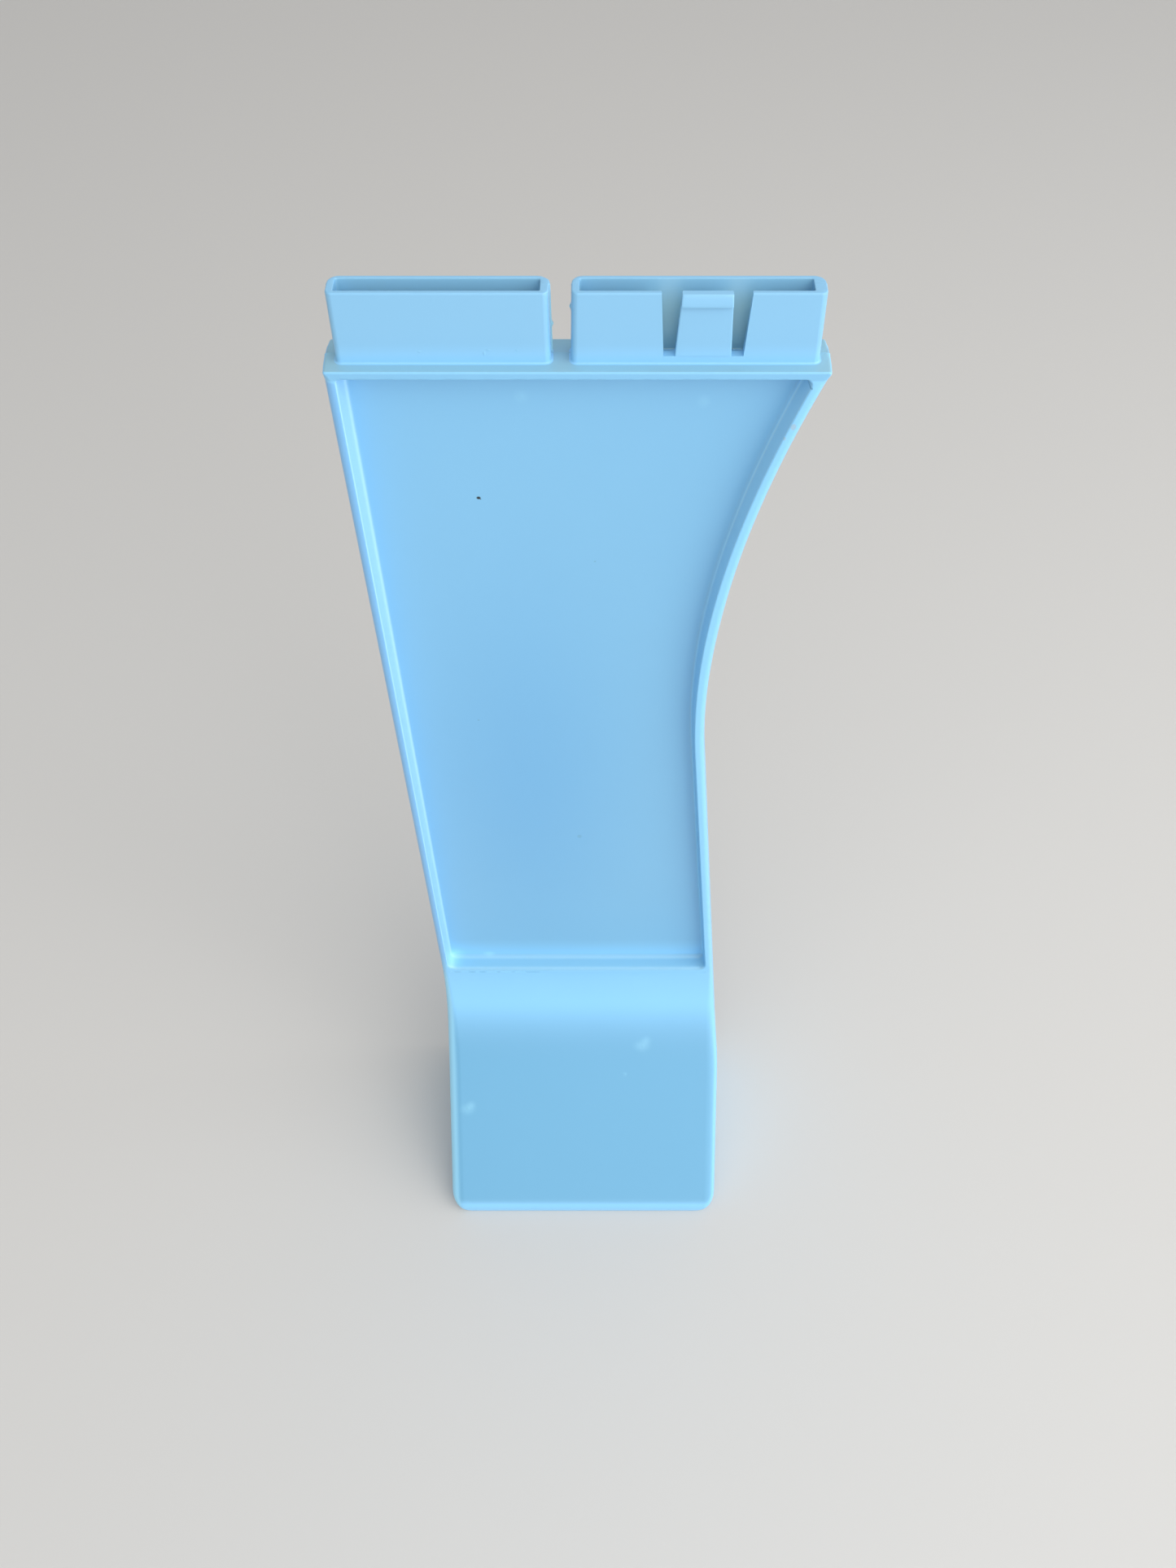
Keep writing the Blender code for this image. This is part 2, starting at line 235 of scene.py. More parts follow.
def bezier_corner(a, corner, b):
    """Points from a to b round a corner, close to an arc."""
    arc_handle = 0.5523  # share of the way to the corner that makes a Bezier curve near round
    a, corner, b = (np.array(p, float) for p in (a, corner, b))
    handle_a, handle_b = a + (corner - a) * arc_handle, b + (corner - b) * arc_handle
    steps = 2 * HALF_CORNER
    return [
        a * (1 - t) ** 3
        + handle_a * 3 * t * (1 - t) ** 2
        + handle_b * 3 * t * t * (1 - t)
        + b * t**3
        for t in (i / steps for i in range(steps + 1))
    ]


def between(a, b, count):
    """count points between a and b, ends left out."""
    a, b = np.array(a, float), np.array(b, float)
    return [a + (b - a) * (i + 1) / (count + 1) for i in range(count)]


def outline(inset, top, bottom, radii, rows):
    """(left, bottom, right, top) sides of the outline, each a list of (x, z). Left and right run
    down, top and bottom run from left to right. inset is a function of z and of the side, and
    radii are top left, top right, bottom right and bottom left."""
    top_left_r, top_right_r, bottom_right_r, bottom_left_r = radii

    def edge_x(z, side):
        if side < 0:
            return LEFT_X + inset(z, side)
        return right_edge(z) - inset(z, side) * right_slant(z)

    def top_corner(side, r):
        x = edge_x(top, side)
        return bezier_corner((x - side * r, top), (x, top), (edge_x(top - r, side), top - r))

    def bottom_corner(side, r):
        x = edge_x(bottom, side)
        start = (edge_x(bottom + r, side), bottom + r)
        return bezier_corner(start, (x, bottom), (x - side * r, bottom))

    def straight(side):
        return [np.array((edge_x(z, side), z)) for z in rows]

    half = HALF_CORNER
    top_left, top_right = top_corner(-1, top_left_r), top_corner(1, top_right_r)
    bottom_left = bottom_corner(-1, bottom_left_r)
    bottom_right = bottom_corner(1, bottom_right_r)
    left = top_left[half:] + straight(-1) + bottom_left[: half + 1]
    right = top_right[half:] + straight(1) + bottom_right[: half + 1]
    top_side = (
        top_left[: half + 1][::-1]
        + between(top_left[0], top_right[0], ACROSS)
        + top_right[: half + 1]
    )
    bottom_side = (
        bottom_left[half:]
        + between(bottom_left[-1], bottom_right[-1], ACROSS)
        + bottom_right[half:][::-1]
    )
    return left, bottom_side, right, top_side


def ring_of(sides):
    """The four sides as one closed loop: down the left, along the bottom, up the right."""
    left, bottom, right, top = sides
    return left[:-1] + bottom[:-1] + right[::-1][:-1] + top[::-1][:-1]


def split_ring(ring, counts):
    """The four sides of a ring again: left and right down, top and bottom to the right."""
    n_left, n_bottom, n_right, _ = counts
    left = ring[:n_left]
    bottom = ring[n_left - 1 : n_left - 1 + n_bottom]
    right = ring[n_left + n_bottom - 2 : n_left + n_bottom - 2 + n_right][::-1]
    top = (ring[n_left + n_bottom + n_right - 3 :] + [ring[0]])[::-1]
    return left, bottom, right, top


def loop_normals(loop):
    """Unit normals of a closed loop in (x, z), pointing out of it."""
    points = np.array(loop)
    ahead = np.roll(points, -1, axis=0) - points
    behind = points - np.roll(points, 1, axis=0)
    tangent = ahead / np.maximum(np.linalg.norm(ahead, axis=1), 1e-9)[:, None]
    tangent += behind / np.maximum(np.linalg.norm(behind, axis=1), 1e-9)[:, None]
    tangent /= np.linalg.norm(tangent, axis=1)[:, None]
    # the loop runs down the left side first, so out is to the right of travel
    return np.stack([tangent[:, 1], -tangent[:, 0]], axis=1)


def length_shares(line):
    """Share of the line's length at each of its points."""
    steps = np.linalg.norm(np.diff(line, axis=0), axis=1)
    total = np.concatenate([[0], np.cumsum(steps)])
    return total / total[-1]


def coons(sides):
    """A grid of (x, z) that fills the four sides: rows run down, columns run to the right."""
    left, bottom, right, top = (np.array(side) for side in sides)
    down = (length_shares(left) + length_shares(right)) / 2
    across = (length_shares(top) + length_shares(bottom)) / 2
    V, U = np.meshgrid(down, across, indexing="ij")
    V, U = V[..., None], U[..., None]
    grid = (
        (1 - U) * left[:, None] + U * right[:, None]
        + (1 - V) * top[None] + V * bottom[None]
        - ((1 - U) * (1 - V) * top[0] + U * (1 - V) * top[-1]
           + (1 - U) * V * bottom[0] + U * V * bottom[-1])
    )
    grid[0], grid[-1] = top, bottom
    grid[:, 0], grid[:, -1] = left, right
    return grid


# ---------------------------------------------------------------- mesh building


class Builder:
    """Collects points in millimetres and faces, and makes a welded mesh of them in metres."""

    def __init__(self):
        self.points, self.faces = [], []

    def add(self, points):
        start = len(self.points)
        self.points.extend([tuple(float(c) for c in p) for p in points])
        return list(range(start, len(self.points)))

    def bridge(self, a, b, closed=True):
        """Quads between two lines of points."""
        count = len(a)
        for i in range(count if closed else count - 1):
            j = (i + 1) % count
            self.faces.append((a[i], a[j], b[j], b[i]))

    def grid(self, rows):
        ids = [self.add(row) for row in rows]
        for upper, lower in zip(ids, ids[1:]):
            self.bridge(upper, lower, closed=False)

    def rings(self, rings):
        ids = [self.add(ring) for ring in rings]
        for a, b in zip(ids, ids[1:]):
            self.bridge(a, b)
        return ids

    def fill(self, outer, inner):
        """Triangles between two rings of points, both seen along Y."""
        ids = self.add(outer) + self.add(inner)
        loops = [[Vector((x, z, 0)) for x, y, z in ring] for ring in (outer, inner)]
        for corners in tessellate_polygon(loops):
            self.faces.append(tuple(ids[i] for i in corners))

    def close_strip(self, loop):
        """Closes a long thin loop with strips between its two long sides."""
        low, high = 0, len(loop) - 1
        while high - low > 2:
            self.faces.append((loop[low], loop[low + 1], loop[high - 1], loop[high]))
            low, high = low + 1, high - 1
        if high - low == 2:
            self.faces.append((loop[low], loop[low + 1], loop[high]))

    def mesh(self, name, sharp=None):
        """The finished object. Edges over sharp degrees are marked sharp."""
        bm = bmesh.new()
        verts = [bm.verts.new((x * MM, y * MM, z * MM)) for x, y, z in self.points]
        for face in self.faces:
            # guards against a repeated face, or one that uses a point twice
            try:
                bm.faces.new([verts[i] for i in face])
            except ValueError:
                pass
        bmesh.ops.remove_doubles(bm, verts=bm.verts, dist=1e-6)
        bmesh.ops.dissolve_degenerate(bm, edges=bm.edges, dist=1e-7)
        bmesh.ops.recalc_face_normals(bm, faces=bm.faces)
        if bm.calc_volume(signed=True) < 0:
            bmesh.ops.reverse_faces(bm, faces=bm.faces)
        mesh = bpy.data.meshes.new(name)
        bm.to_mesh(mesh)
        bm.free()
        mesh.shade_smooth()
        if sharp:
            mesh.set_sharp_from_angle(angle=math.radians(sharp))
        obj = bpy.data.objects.new(name, mesh)
        bpy.context.scene.collection.objects.link(obj)
        return obj


# ---------------------------------------------------------------- shell


def skin_rings(ring):
    """Rings of the outer skin, from the front rim's outer edge to the back rim's."""
    normal = loop_normals(ring)
    sideways = normal[:, 0] ** 2
    up = np.clip(normal[:, 1], 0, 1) ** 2
    down = np.clip(-normal[:, 1], 0, 1) ** 2
    front_up_r, front_down_r = 0.38, 0.55
    left_gain, right_gain = 0.28, -0.08  # added to the side radius
    radius_front = np.array(
        [
            (side_radius(z) + (left_gain * smooth(-z / 2.4) if x < 0 else right_gain)) * s
            + front_up_r * u
            + front_down_r * d
            for (x, z), s, u, d in zip(ring, sideways, up, down)
        ]
    )
    radius_back = sideways * 0.9 + up * 0.45 + down * 0.45
    # the side edges of the back are rounder near the flange
    radius_back += sideways * 0.6 * np.array([smooth(1 + z / 4.0) for _, z in ring])

    def placed(inset, y):
        flat = ring - normal * inset[:, None]
        return [(x, y_here, z) for (x, z), y_here in zip(flat, y)]

    rings = []
    for sine, cosine in turn(8):
        inset = radius_front * (1 - sine)
        z = (ring - normal * inset[:, None])[:, 1]
        y = np.array([front_profile(v) for v in z]) + radius_front * (1 - cosine)
        rings.append(placed(inset, y))
    # the sides lean out to the parting line, which stands up as a fine ridge
    lean = CROWN - 0.06
    for y, out, ridge in (
        (-2.6, lean * 0.62, 0.0),
        (-1.0, lean * 0.88, 0.0),
        (PARTING_Y - 0.16, lean, 0.0),
        (PARTING_Y - 0.06, lean, RIDGE),
        (PARTING_Y + 0.06, lean, RIDGE),
        (PARTING_Y + 0.16, lean - 0.03, 0.0),
        (2.6, lean * 0.7, 0.0),
    ):
        inset = -sideways * out - (sideways + 1.6 * up) * ridge
        rings.append(placed(inset, np.full(len(ring), y)))
    for sine, cosine in turn(5):
        rings.append(placed(radius_back * (1 - cosine), HALF_DEPTH - radius_back * (1 - sine)))
    return rings


def add_sheet(builder, sides, base_y, margins, levels, waves=ripple):
    """Fills four sides with a sheet at base_y(x, z). Its ripple fades out at the margins, in from
    the left and right edges, and at the (low, high) levels."""
    fade = 6

    def y_at(x, z):
        near = min(
            x - (LEFT_X + margins[0]), right_edge(z) - margins[1] - x, z - levels[0], levels[1] - z
        )
        return base_y(x, z) + waves(x, z) * smooth(near / fade)

    builder.grid([[(x, y_at(x, z), z) for x, z in row] for row in coons(sides)])


def wall_points(edge, fillet, draft):
    """(move in, y) from the rim's flat, round its edge, down the wall and round the fillet.
    edge and fillet are radii, draft is in degrees."""
    lean = math.radians(draft)
    found = [
        (edge * sine - edge, -HALF_DEPTH + edge * (1 - cosine))
        for sine, cosine in turn(5, degrees=90 - draft)
    ]
    top_in, top_y = found[-1]
    low_y = WEB_FRONT_Y - fillet * (1 - math.sin(lean))
    run = math.tan(lean) * (low_y - top_y)
    for share in (0.25, 0.5, 0.75, 1.0):
        found.append((top_in + run * share, top_y + (low_y - top_y) * share))
    foot_in = found[-1][0]
    for i in range(1, 8):
        angle = lean + (math.pi / 2 - lean) * i / 7
        found.append(
            (
                foot_in + fillet * (math.cos(lean) - math.cos(angle)),
                WEB_FRONT_Y - fillet * (1 - math.sin(angle)),
            )
        )
    return found


def recess_ring(at_side, at_ledge):
    """A ring of the front recess and its four sides, from (move in, y) at the sides and top, and
    at the ledge."""
    move, y_side = at_side
    move_ledge, y_ledge = at_ledge
    sides = outline(
        lambda z, side: (LEFT_RIM if side < 0 else right_rim(z)) + move,
        -FLANGE_T - move,
        LEDGE_Z + move_ledge,
        tuple(max(0.12, r - move) for r in (0.7, 1.8, 2.4, 2.8)),
        inner_rows(-3.2, -4.5),
    )
    loop = ring_of(sides)
    # how far the loop faces down, which is out at the ledge
    low = np.clip(-loop_normals(loop)[:, 1], 0, 1) ** 2
    return [(x, y_side + (y_ledge - y_side) * w, z) for (x, z), w in zip(loop, low)], sides


def add_front(builder, rim):
    """Lip, front rim and recess, inside the four sides of the skin's front edge."""
    left, bottom, right, top = rim
    # the last split row, under the ledge, parts the lip from the rim
    split_row = HALF_CORNER + len(ROWS_ARM) + len(ROWS_SPLIT)
    z = ROWS_SPLIT[-1]
    left_x, right_x = left[split_row][0], right[split_row][0]
    end_steps = [0.0, 0.3, 0.6, 0.9, 1.2]
    split = (
        [np.array((left_x + step, z)) for step in end_steps]
        + between((left_x + end_steps[-1], z), (right_x - end_steps[-1], z), ACROSS)
        + [np.array((right_x - step, z)) for step in end_steps[::-1]]
    )
    add_sheet(
        builder,
        (left[split_row:], bottom, right[split_row:], split),
        lambda x, z: front_profile(z),
        margins=(3.5, 3.5),
        levels=(FOOT_Z + 7, LEDGE_Z - 4),
    )

    rim_sides = (left[: split_row + 1], split, right[: split_row + 1], top)
    rim_ring = [(x, front_profile(z), z) for x, z in ring_of(rim_sides)]
    side_wall = wall_points(edge=0.3, fillet=0.9, draft=5.5)
    ledge_wall = wall_points(edge=1.1, fillet=1.5, draft=3.0)
    recess = []
    for at_side, at_ledge in zip(side_wall, ledge_wall):
        points, sides = recess_ring(at_side, at_ledge)
        recess.append(points)
    builder.fill(rim_ring, recess[0])
    builder.rings(recess)
    add_sheet(
        builder, sides, recess_floor, margins=(5.5, 6), levels=(LEDGE_Z + 4, -5)
    )


def hollow_sides(move, deep):
    """The hollow's four sides, moved in. deep is the share of the way down its drafted wall."""

    def inset(z, side):
        depth = HALF_DEPTH - back_floor(z)
        return BACK_RIM + move + deep * min(0.09 * depth, 0.3 + 0.012 * depth)

    end_draft = deep * 0.4
    return outline(
        inset,
        -FLANGE_T - move - end_draft,
        FOOT_Z + SOLE_T + move + end_draft,
        (1.0, 1.6, 3.2, 3.2),
        inner_rows(-4.9, -10.5) + ROWS_SPLIT + ROWS_LIP,
    )


def add_back(builder, rim_edge):
    """Back rim, then the hollow that runs from the flange to the sole."""
    edge, fillet = 0.3, 1.2
    wall_y = HALF_DEPTH - edge
    rings = [rim_edge]
    for sine, cosine in turn(3, degrees=88):
        loop = ring_of(hollow_sides(edge * sine - edge, 0.0))
        rings.append([(x, HALF_DEPTH - edge * (1 - cosine), z) for x, z in loop])
    for deep in (0.17, 0.34, 0.5, 0.67, 0.84, 1.0):
        loop = ring_of(hollow_sides(0.0, deep))
        rings.append(
            [(x, wall_y + (back_floor(z) + fillet - wall_y) * deep, z) for x, z in loop]
        )
    for sine, cosine in turn(5, first=1):
        sides = hollow_sides(fillet * (1 - cosine), 1.0)
        rings.append([(x, back_floor(z) + fillet * (1 - sine), z) for x, z in ring_of(sides)])
    builder.rings(rings)
    add_sheet(
        builder,
        sides,
        lambda x, z: back_floor(z),
        margins=(5.5, 6),
        levels=(FOOT_Z + 10, -6),
        waves=lambda x, z: ripple(z, x),
    )


def shell():
    """Arm, lip, cheeks, sole and flange as the one moulding they are."""
    builder = Builder()
    outer = outline(
        front_crown,
        0.0,
        FOOT_Z,
        (0.5, 0.8, FOOT_CORNER_R, FOOT_CORNER_R),
        ROWS_ARM + ROWS_SPLIT + ROWS_LIP,
    )
    skin = skin_rings(np.array(ring_of(outer)))
    builder.rings(skin)
    front_edge = [np.array((x, z)) for x, _, z in skin[0]]
    add_front(builder, split_ring(front_edge, [len(side) for side in outer]))
    add_back(builder, skin[-1])
    return builder.mesh("holder_shell")


# ---------------------------------------------------------------- plugs

ARC_STEPS = 6
# y of the points on each end of a plug, where the parting line runs
PARTING_POINTS = (PARTING_Y + 0.2, PARTING_Y + 0.07, PARTING_Y - 0.07, PARTING_Y - 0.2)
PLUG_SOLE_Z = -0.3  # the plugs start inside the flange
PLUG_FILLET = 0.35
PLUG_EDGE = 0.24
PLUG_INNER_EDGE = 0.12
PLUG_WALL = (1.6, 0.75)  # long walls: thickness at the foot, and how much is lost by the top
END_DRAFT = 0.07
RIDGE_FROM_Z = 0.2
WINDOW_FOOT_Z = 1.4
PLUG_ROWS = 44
PLUG_LEVELS = [0.5, 0.8, WINDOW_FOOT_Z] + [
    WINDOW_FOOT_Z + (PLUG_TOP - PLUG_EDGE - WINDOW_FOOT_Z) * i / PLUG_ROWS
    for i in range(1, PLUG_ROWS + 1)
]
# in a plug's outline the window's left edge is the third mark, and it spans three columns
WINDOW_FIRST = len(PARTING_POINTS) + ARC_STEPS + 1 + 2
WINDOW_COLUMNS = range(WINDOW_FIRST, WINDOW_FIRST + 3)


def plug_front(z):
    return PLUG_FRONT_Y + PLUG_DRAFT * (z / PLUG_TOP)


def plug_outline(x, y, front_r, back_r, marks):
    """A rounded rectangle as (x, y), with extra points on the front and back at marks and in the
    middle of each end. Starts at the left end and runs round the front."""

    def arc(centre_x, centre_y, r, start):
        turns = [math.radians(start + 90 * i / ARC_STEPS) for i in range(ARC_STEPS + 1)]
        return [(centre_x + r * math.cos(a), centre_y + r * math.sin(a)) for a in turns]

    loop = [(x[0], v) for v in PARTING_POINTS]
    loop += arc(x[0] + front_r, y[0] + front_r, front_r, 180)
    loop += [(mark, y[0]) for mark in marks]
    loop += arc(x[1] - front_r, y[0] + front_r, front_r, 270)
    loop += [(x[1], v) for v in PARTING_POINTS[::-1]]
    loop += arc(x[1] - back_r, y[1] - back_r, back_r, 0)
    loop += [(mark, y[1]) for mark in marks[::-1]]
    loop += arc(x[0] + back_r, y[1] - back_r, back_r, 90)
    return loop


def at_height(ring, z):
    return [(x, y, z) for x, y, _ in ring]


@dataclass
class Plug:
    """A hollow plug, open at the top. Pairs are (left, right)."""

    name: str
    foot_x: tuple
    rim_x: tuple
    end_walls: tuple  # thickness of the ends at the foot
    window: tuple = None  # opening in the front wall: x at its foot, x at the rim
    nibs: tuple = ()  # flash on the parting line: end (-1 is left), height, size, length
    step: float = 0.0  # how far the back half stands out past the front half at the right end

    def box_at(self, z):
        t = z / PLUG_TOP
        x = [foot + (rim - foot) * t for foot, rim in zip(self.foot_x, self.rim_x)]
        return x, (plug_front(z), PLUG_BACK_Y - PLUG_DRAFT * t)

    def marks_at(self, z):
        """X of the extra points along the front and back."""
        (x0, x1), _ = self.box_at(z)
        if not self.window:
            return [x0 + (x1 - x0) * i / 6 for i in range(1, 6)]
        t = max(0.0, z - WINDOW_FOOT_Z) / (PLUG_TOP - WINDOW_FOOT_Z)
        left, right = (foot + (rim - foot) * t for foot, rim in zip(*self.window))
        third = (right - left) / 3
        return [x0 + 5, x0 + 10, left, left + third, right - third, right, x1 - 5]

    def outer(self, z, out=0.0):
        """A ring of the outer face, out from its place, with the parting line's ridge."""
        (x0, x1), (y0, y1) = self.box_at(z)
        loop = plug_outline(
            (x0 - out, x1 + out), (y0 - out, y1 + out), 1.1 + out, 1.9 + out, self.marks_at(z)
        )
        ring = []
        for x, y in loop:
            at_left, at_right = x < x0 + 0.5, x > x1 - 0.5
            move = 0.0
            if abs(y - PARTING_Y) < 0.1 and z > RIDGE_FROM_Z and (at_left or at_right):
                move = RIDGE
                for end, height, size, length in self.nibs:
                    if (end < 0) == at_left:
                        move += size * math.exp(-(((z - height) / length) ** 2))
            if at_right and y > PARTING_Y - 0.1 and z > RIDGE_FROM_Z:
                # fades out round the corner to the back
                move += self.step * smooth(1.0 - (x1 - x) / 1.2)
            ring.append((x - move if at_left else x + move, y, z))
        return ring

    def inner(self, z, wider=0.0):
        """A ring of the inner face, widened on all sides."""
        (x0, x1), (y0, y1) = self.box_at(z)
        t = z / PLUG_TOP
        wall = PLUG_WALL[0] - PLUG_WALL[1] * t - wider
        left = x0 + self.end_walls[0] - END_DRAFT * t - wider
        right = x1 - self.end_walls[1] + END_DRAFT * t + wider
        loop = plug_outline((left, right), (y0 + wall, y1 - wall), 0.3, 0.45, self.marks_at(z))
        return [(x, y, z) for x, y in loop]

    def rings(self):
        """Rings up the outer face, over the rim, and down the inner face to the floor."""
        rings = [at_height(self.outer(0.0, PLUG_FILLET), PLUG_SOLE_Z)]
        for sine, cosine in turn(6, last=5):
            foot = self.outer(0.0, PLUG_FILLET * (1 - sine))
            rings.append(at_height(foot, PLUG_FILLET * (1 - cosine)))
        rings += [self.outer(z) for z in [PLUG_FILLET] + PLUG_LEVELS]
        for sine, cosine in turn(3, first=1):
            z = PLUG_TOP - PLUG_EDGE * (1 - sine)
            rings.append(self.outer(z, -PLUG_EDGE * (1 - cosine)))
        for sine, cosine in turn(2):
            z = PLUG_TOP - PLUG_INNER_EDGE * (1 - cosine)
            rings.append(self.inner(z, PLUG_INNER_EDGE * (1 - sine)))
        rings += [self.inner(z) for z in PLUG_LEVELS[::-1][1:]]
        rings += [self.inner(0.35), self.inner(0.12, -0.22)]
        return rings

    def build(self):
        builder = Builder()
        rings = self.rings()
        ids = [builder.add(ring) for ring in rings]
        sills = [i for i, ring in enumerate(rings) if abs(ring[0][2] - WINDOW_FOOT_Z) < 1e-9]
        sill_out, sill_in = sills[0], sills[-1]
        count = len(rings[0])
        for r in range(len(ids) - 1):
            for i in range(count):
                if self.window and i in WINDOW_COLUMNS and sill_out <= r < sill_in:
                    continue
                j = (i + 1) % count
                builder.faces.append((ids[r][i], ids[r][j], ids[r + 1][j], ids[r + 1][i]))
        if self.window:
            for column in (WINDOW_COLUMNS[0], WINDOW_COLUMNS[-1] + 1):
                builder.close_strip([ids[r][column] for r in range(sill_out, sill_in + 1)])
            out, inside = ids[sill_out], ids[sill_in]
            for i in WINDOW_COLUMNS:
                builder.faces.append((out[i], out[i + 1], inside[i + 1], inside[i]))
        builder.faces.append(tuple(ids[0]))
        builder.faces.append(tuple(ids[-1]))
        return builder.mesh(self.name, sharp=50)


LEFT_PLUG = Plug(
    name="left_plug_shell",
    foot_x=(-37.9, -1.8),
    rim_x=(-37.7, -1.97),
    end_walls=(1.3, 1.45),
    nibs=((1, 5.62, 0.3, 0.4), (-1, 11.7, 0.14, 0.3)),
    step=0.2,
)
RIGHT_PLUG = Plug(
    name="right_plug_shell",
    foot_x=(1.5, 43.15),
    rim_x=(1.7, 42.7),
    end_walls=(1.35, 2.1),
    window=((16.9, 30.2), (16.1, 30.7)),
    nibs=((-1, 8.74, 0.28, 0.42), (1, 12.0, 0.14, 0.3)),
)

# ---------------------------------------------------------------- latch tongue

TONGUE_ROOT_Z = 1.36
TONGUE_TOP_Z = PLUG_TOP - 0.06
TONGUE_X = (18.8, 28.2)  # at the root
TONGUE_TAPER = 0.6  # how far each side leans in by the top
TONGUE_ROOT_T = 1.55
TONGUE_TOP_T = 1.05
CATCH_Z = 10.6
CATCH_OUT = 0.7
TONGUE_LEVELS = (2.2, 3.2, 4.4, 5.8, 7.2, 8.6)
# the catch's face: how far back from its furthest point, height over CATCH_Z
CATCH_FACE = (
    (0.1, 0.02), (0.03, 0.05), (0.0, 0.13), (0.01, 0.5), (0.1, 1.0), (0.26, 1.6),
    (0.38, TONGUE_TOP_Z - 0.16 - CATCH_Z), (0.56, TONGUE_TOP_Z - CATCH_Z),
)
# columns across the tongue: share of its width, how much of the edge rounding it has
TONGUE_COLUMNS = (
    (0.0, 1.0), (0.012, 0.3), (0.03, 0.0), (0.2, 0.0), (0.4, 0.0),
    (0.6, 0.0), (0.8, 0.0), (0.97, 0.0), (0.988, 0.3), (1.0, 1.0),
)


def tongue_share(z):
    return (z - TONGUE_ROOT_Z) / (TONGUE_TOP_Z - TONGUE_ROOT_Z)


def tongue_profile():
    """The tongue's section as (y, z): up the front, over the catch and down the back."""
    front_levels = (TONGUE_ROOT_Z, *TONGUE_LEVELS, 9.6, CATCH_Z - 0.05)
    profile = [(plug_front(z), z) for z in front_levels]
    catch_y = plug_front(CATCH_Z)
    profile.append((catch_y - 0.05, CATCH_Z))
    profile += [(catch_y - CATCH_OUT + back, CATCH_Z + up) for back, up in CATCH_FACE]
    top, top_y = TONGUE_TOP_Z, plug_front(TONGUE_TOP_Z)
    back_top = top_y + TONGUE_TOP_T
    profile += [(top_y + 0.5, top), (back_top - 0.15, top), (back_top, top - 0.15)]
    back_root = plug_front(TONGUE_ROOT_Z) + TONGUE_ROOT_T
    profile += [
        (back_top + (back_root - back_top) * (1 - tongue_share(z)), z)
        for z in (10.2, *TONGUE_LEVELS[::-1], TONGUE_ROOT_Z)
    ]
    return profile


def tongue():
    builder = Builder()
    profile = tongue_profile()
    middle_y = np.mean([y for y, _ in profile])

    def column(share, rounding):
        ring = []
        for y, z in profile:
            lean = TONGUE_TAPER * tongue_share(z)
            left, right = TONGUE_X[0] + lean, TONGUE_X[1] - lean
            move = 0.1 * rounding * np.clip((middle_y - y) / 0.3, -1, 1)
            ring.append((left + (right - left) * share, y + move, z))
        return ring

    ids = builder.rings([column(share, rounding) for share, rounding in TONGUE_COLUMNS])
    builder.close_strip(ids[0])
    builder.close_strip(ids[-1])
    return builder.mesh("latch_tongue_spring", sharp=40)


# ---------------------------------------------------------------- materials

# base colours
BLUE = (0.24, 0.565, 0.86)
PLUG_BLUE = (0.255, 0.556, 0.825)

# painted light and shade: brightness of the holder's parts, as a factor on its base colour
THICK_PAINTED_LIGHT_FACTOR = 1.15  # rims, walls and the bend
WEB_PAINTED_SHADE_FACTOR = 0.93
LIP_PAINTED_SHADE_FACTOR = 0.78
SEAT_PAINTED_SHADE_FACTOR = 1.0
FLANGE_RIM_PAINTED_SHADE_FACTOR = 0.97

# colours of painted light and shade, mixed in over parts of the holder
SEAT_PAINTED_SHADE_COLOUR = (0.28, 0.535, 0.67)
MIDDLE_PAINTED_SHADE_COLOUR = (0.178, 0.468, 0.775)
LIP_PAINTED_SHADE_COLOUR = (0.162, 0.44, 0.675)
LEDGE_PAINTED_LIGHTING_COLOUR = (0.285, 0.6, 0.815)
LEDGE_EDGE_PAINTED_SHADE_COLOUR = (0.235, 0.535, 0.8)
LEFT_WALL_PAINTED_HIGHLIGHT_COLOUR = (0.4, 0.73, 1.0)
LEFT_RIM_PAINTED_SHADE_COLOUR = (0.235, 0.56, 0.94)
FLARED_WALL_PAINTED_LIGHT_COLOUR = (0.4, 0.73, 0.94)
FOOT_LEFT_PAINTED_LIGHT_COLOUR = (0.34, 0.74, 1.0)
POCKET_PAINTED_SHADE_COLOUR = (0.34, 0.61, 0.65)  # painted shade inside the plugs

# painted shade over the middle of the web: centre, size, strength
MIDDLE_CENTRE = (-11.0, -0.3, -122.0)
MIDDLE_SIZE = (38.0, 2.0, 104.0)
MIDDLE_STRENGTH = 0.9

# marks in the colour: centre, size, tone, strength
DARK = (0.012, 0.014, 0.02)
FAINT = (0.13, 0.33, 0.5)
SCUFF = (0.44, 0.44, 0.38)
HOLDER_MARKS = (
    ((-16.25, -0.3, -30.57), (0.5, 0.8, 0.42), DARK, 1.0),
    ((-15.9, -0.3, -30.85), (0.2, 0.8, 0.16), DARK, 0.7),
    ((5.73, -0.3, -46.74), (0.28, 0.8, 0.24), FAINT, 0.5),
    ((-20.95, -0.3, -96.39), (0.3, 0.8, 0.3), FAINT, 0.5),
    ((2.11, -0.3, -144.48), (0.8, 0.8, 0.9), FAINT, 0.35),
    ((39.94, -4.9, -10.93), (0.62, 0.5, 0.85), SCUFF, 0.42),
    ((38.7, -4.9, -13.4), (0.34, 0.5, 0.45), SCUFF, 0.35),
)
TONGUE_PAINTED_SHADOW = (((23.5, -2.75, 10.44), (6.6, 0.7, 0.34), FAINT, 0.7),)  # a painted shadow line under the tongue's catch
